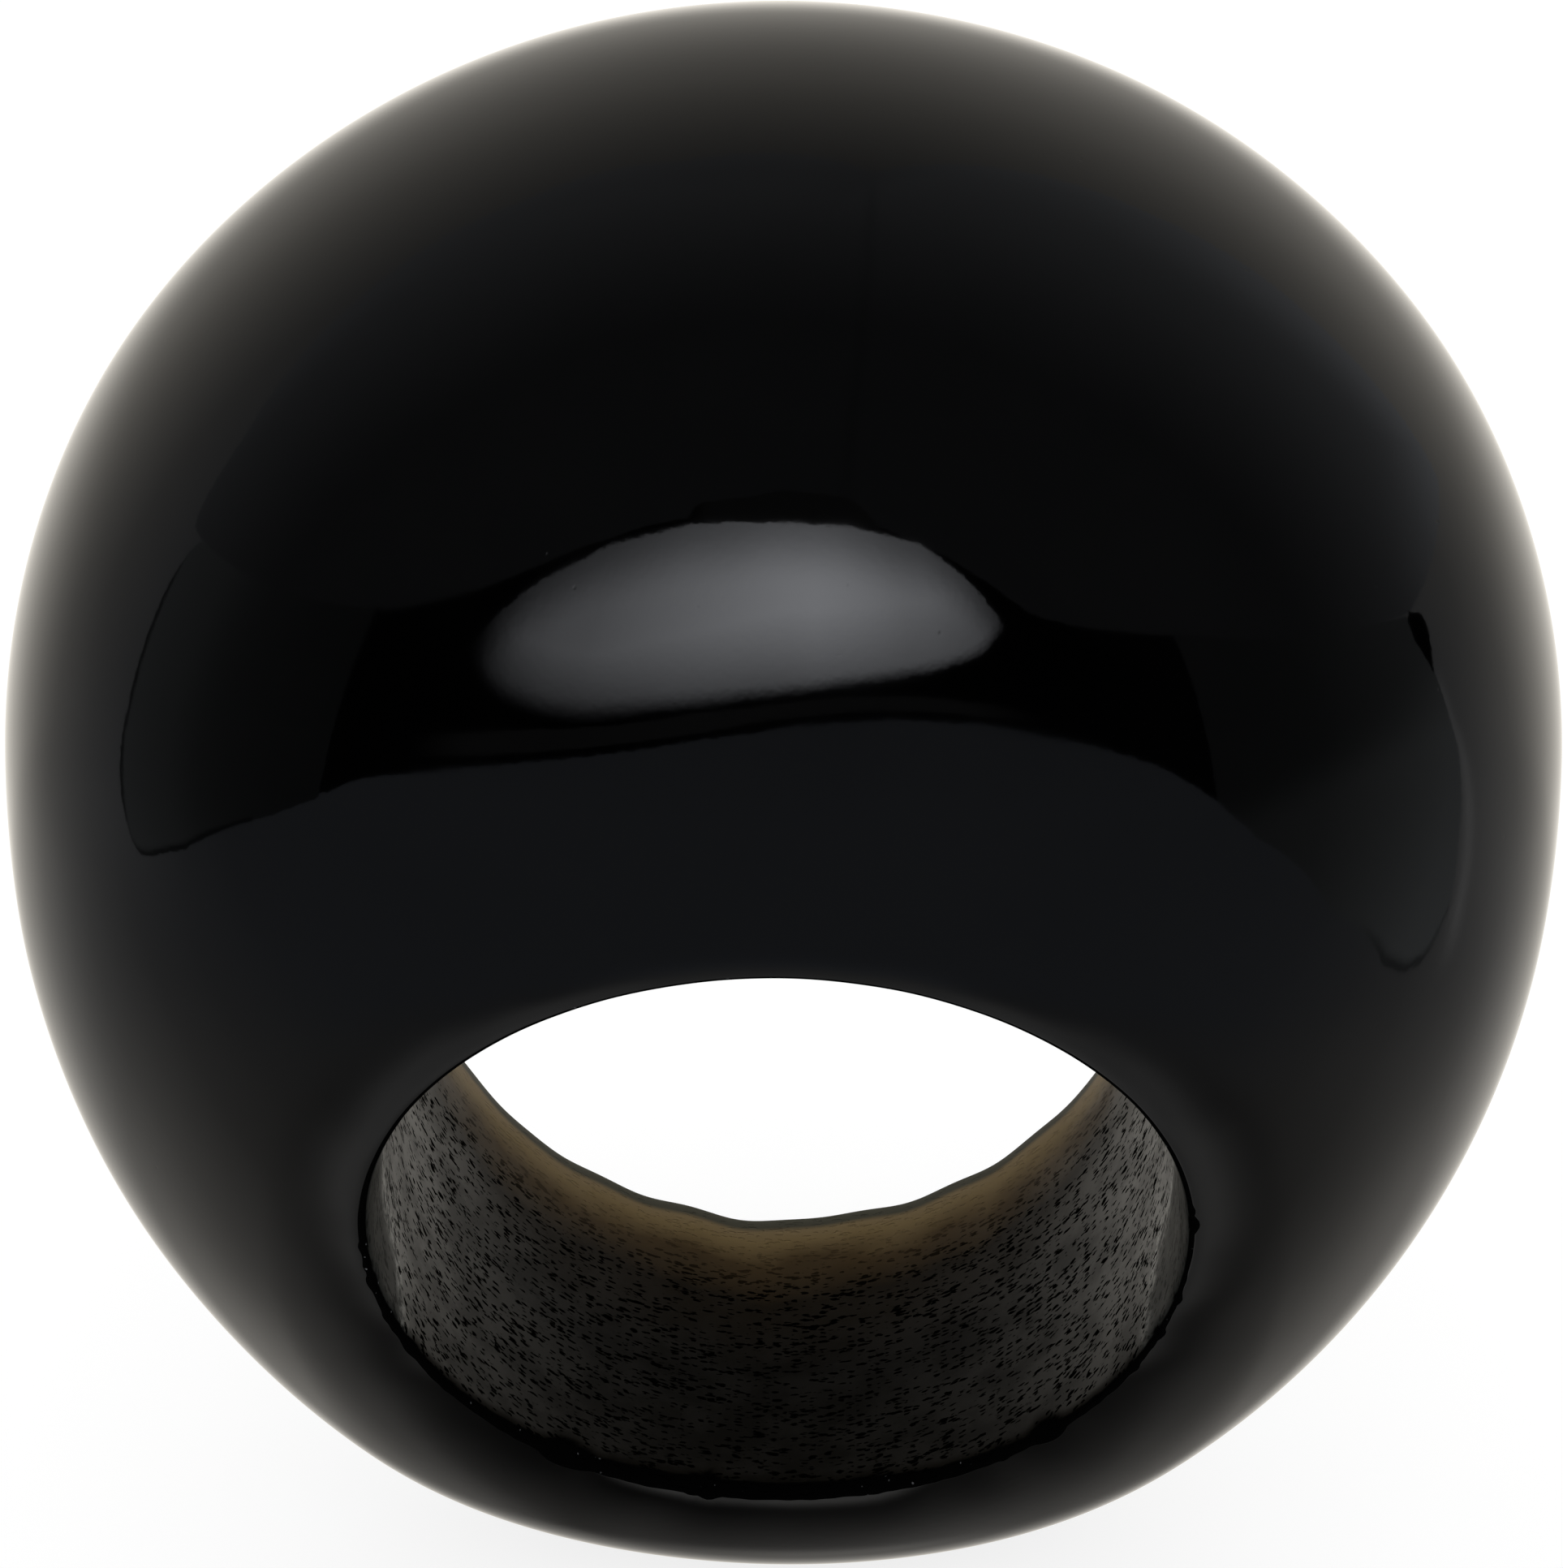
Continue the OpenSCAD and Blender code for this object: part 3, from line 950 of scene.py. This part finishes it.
def roof_glow(azimuth, elevation, facing, over_foot, under_top):
    off_seam = (facing[..., 0] - SEAM_LEAN * facing[..., 2]) / SEAM_HALF_WIDTH
    seam = 1 - SEAM_DEPTH * np.exp(-(off_seam**2))
    roof = seam * (ROOF_LEVEL + ROOF_RISE * np.clip(facing[..., 1] + ROOF_START, 0, None) ** ROOF_POWER)
    cloth = tent_glow(azimuth, elevation, facing, over_foot, under_top)
    melt = smooth_step(*MELT_AZIMUTH, np.abs(azimuth)) * (1 - smooth_step(*MELT_OVER_FOOT, over_foot))
    melt = np.maximum(melt, smooth_step(*RIGHT_MELT_AZIMUTH, azimuth) * smooth_step(*RIGHT_MELT_TOP, elevation))
    return roof * (1 - melt) + cloth * melt


def lamp_glow(azimuth, elevation, facing, over_foot, under_top):
    foot_share = along(LAMP_FOOT_SHARE, azimuth)
    risen = np.clip(over_foot / along(LAMP_FOOT_RISE, azimuth), 0, 1)
    foot_fade = foot_share + (1 - foot_share) * risen
    foot_fade = foot_fade * smooth_step(LAMP_FOOT_START, along(LAMP_FOOT_CUT, azimuth), over_foot)
    top_fade = LAMP_TOP_SHARE + (1 - LAMP_TOP_SHARE) * smooth_step(*LAMP_TOP_FADE, under_top)
    return LAMP_STRENGTH * along(LAMP_ACROSS, azimuth) * top_fade * foot_fade


def ledge_glow(azimuth, elevation, facing, over_foot, under_top):
    return LEDGE_LEVEL * smooth_step(*LEDGE_START, azimuth) * smooth_step(*LEDGE_END, azimuth)


def cap_glow(azimuth, elevation, facing, over_foot, under_top):
    return CAP_LEAST + CAP_RISE * smooth_step(*CAP_START, azimuth)


def left_panel_glow(azimuth, elevation, facing, over_foot, under_top):
    level = along(LEFT_PANEL_GLOW, azimuth)
    over_edge = np.where(azimuth < LEFT_EDGE_END, over_foot, FAR_INSIDE)
    edge = np.minimum(azimuth - LEFT_PANEL_FOOT[0][0], over_edge)
    return level * (PANEL_EDGE_SHARE + (1 - PANEL_EDGE_SHARE) * smooth_step(*PANEL_EDGE, edge))


def right_panel_glow(azimuth, elevation, facing, over_foot, under_top):
    level = along(RIGHT_PANEL_GLOW, azimuth)
    dark_edge = RIGHT_EDGE_SHADE * smooth_step(*RIGHT_EDGE_START, azimuth)
    dark_edge = dark_edge * (1 - smooth_step(*PANEL_EDGE, over_foot))
    return level * (1 - dark_edge) * (1 - RIGHT_TOP_SHADE * smooth_step(*RIGHT_TOP_FADE, elevation))


def no_glow(azimuth, elevation, facing, over_foot, under_top):
    return 0 * azimuth


def dress_studio():
    nadir, zenith = ((-180, -90), (180, -90)), ((-180, 90), (180, 90))
    roof, lamp, panel, bare = (plain_tint(color) for color in (ROOF_TINT, LAMP_TINT, PANEL_TINT, NO_TINT))
    studio_band("tent_cloth", nadir, zenith, tent_glow, TENT_DISTANCE, tent_tint, (361, 181))
    studio_band("tent_roof", ROOF_EDGE, zenith, roof_glow, ROOF_DISTANCE, roof, (721, 90), 2.0)
    studio_band("front_slot", SLOT_FOOT, SLOT_TOP, no_glow, SLOT_DISTANCE, bare, (225, 8), 3.0)
    studio_band("slot_ledge", LEDGE_FOOT, LEDGE_TOP, ledge_glow, LEDGE_DISTANCE, bare, (161, 8), 3.0)
    studio_band("front_lamp", LAMP_FOOT, LAMP_TOP, lamp_glow, LAMP_DISTANCE, lamp, (217, 60), 2.0)
    studio_band("roof_flap", CAP_FOOT, CAP_TOP, cap_glow, FLAP_DISTANCE, bare, (63, 8), 1.0)
    studio_band(
        "left_panel", LEFT_PANEL_FOOT, LEFT_PANEL_TOP, left_panel_glow, PANEL_DISTANCE, panel, (194, 97), 1.0
    )
    studio_band(
        "right_panel", RIGHT_PANEL_FOOT, RIGHT_PANEL_TOP, right_panel_glow, PANEL_DISTANCE, panel, (251, 97), 1.0
    )
    studio_band("side_slit", SLIT_FOOT, SLIT_TOP, no_glow, FLAP_DISTANCE, bare, (17, 6))


# The floor: half its width and its gap under the ring, in metres, and the points along each side of its grid.
FLOOR_HALF = 3.0
FLOOR_GAP = 0.0001
FLOOR_POINTS = 9
# Its paper, and what the camera sees of it: a white ground with the part that the ring's shadow darkens.
PAPER_GREY, SHADOW_GREY = (0.8, 0.8, 0.8, 1), (0.24, 0.24, 0.24, 1)
WHITE_LEVEL = 0.82


def pale_floor():
    """Plain white floor that keeps the ring's soft shadow."""
    level, count = cad_box[0][2] - FLOOR_GAP, FLOOR_POINTS
    grid = np.linspace(-FLOOR_HALF, FLOOR_HALF, count)
    points = [(x, y, level) for y in grid for x in grid]
    quads = [
        (i * count + j, i * count + j + 1, (i + 1) * count + j + 1, (i + 1) * count + j)
        for i in range(count - 1)
        for j in range(count - 1)
    ]
    mesh = bpy.data.meshes.new("pale_floor")
    mesh.from_pydata(points, [], quads)
    material, sheet = new_material("pale_floor")
    path = sheet.node("ShaderNodeLightPath").outputs
    seen = sheet.math("MAXIMUM", path["Is Camera Ray"], path["Is Glossy Ray"])
    seen = sheet.math("MAXIMUM", seen, path["Is Transmission Ray"])
    paper = sheet.node("ShaderNodeBsdfDiffuse", Color=PAPER_GREY)
    shadow = sheet.node("ShaderNodeBsdfDiffuse", Color=SHADOW_GREY)
    white = sheet.node("ShaderNodeEmission", Color=(1, 1, 1, 1), Strength=WHITE_LEVEL)
    both = sheet.node("ShaderNodeAddShader")
    sheet.feed(both.inputs[0], shadow.outputs[0])
    sheet.feed(both.inputs[1], white.outputs[0])
    pick = sheet.node("ShaderNodeMixShader")
    sheet.feed(pick.inputs[0], seen)
    sheet.feed(pick.inputs[1], paper.outputs[0])
    sheet.feed(pick.inputs[2], both.outputs[0])
    output = sheet.node("ShaderNodeOutputMaterial")
    sheet.feed(output.inputs["Surface"], pick.outputs[0])
    mesh.materials.append(material)
    floor = bpy.data.objects.new("pale_floor", mesh)
    bpy.context.collection.objects.link(floor)
    floor.visible_glossy = False


def soft_light():
    """Even white light from all around."""
    world = bpy.data.worlds.new("soft_light")
    bpy.context.scene.world = world
    world.use_nodes = True
    background = world.node_tree.nodes["Background"]
    background.inputs["Color"].default_value = (1, 1, 1, 1)
    background.inputs["Strength"].default_value = 1.0


place_camera()
make_pit_group()
make_cloud_group()

stone = carved_stone()
stone.data.materials.append(polished_finish())
stone.data.materials.append(ground_finish())
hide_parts("stone_ring")
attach(stone, "root")

dress_studio()
pale_floor()
soft_light()
bpy.context.scene.view_settings.view_transform = "Standard"
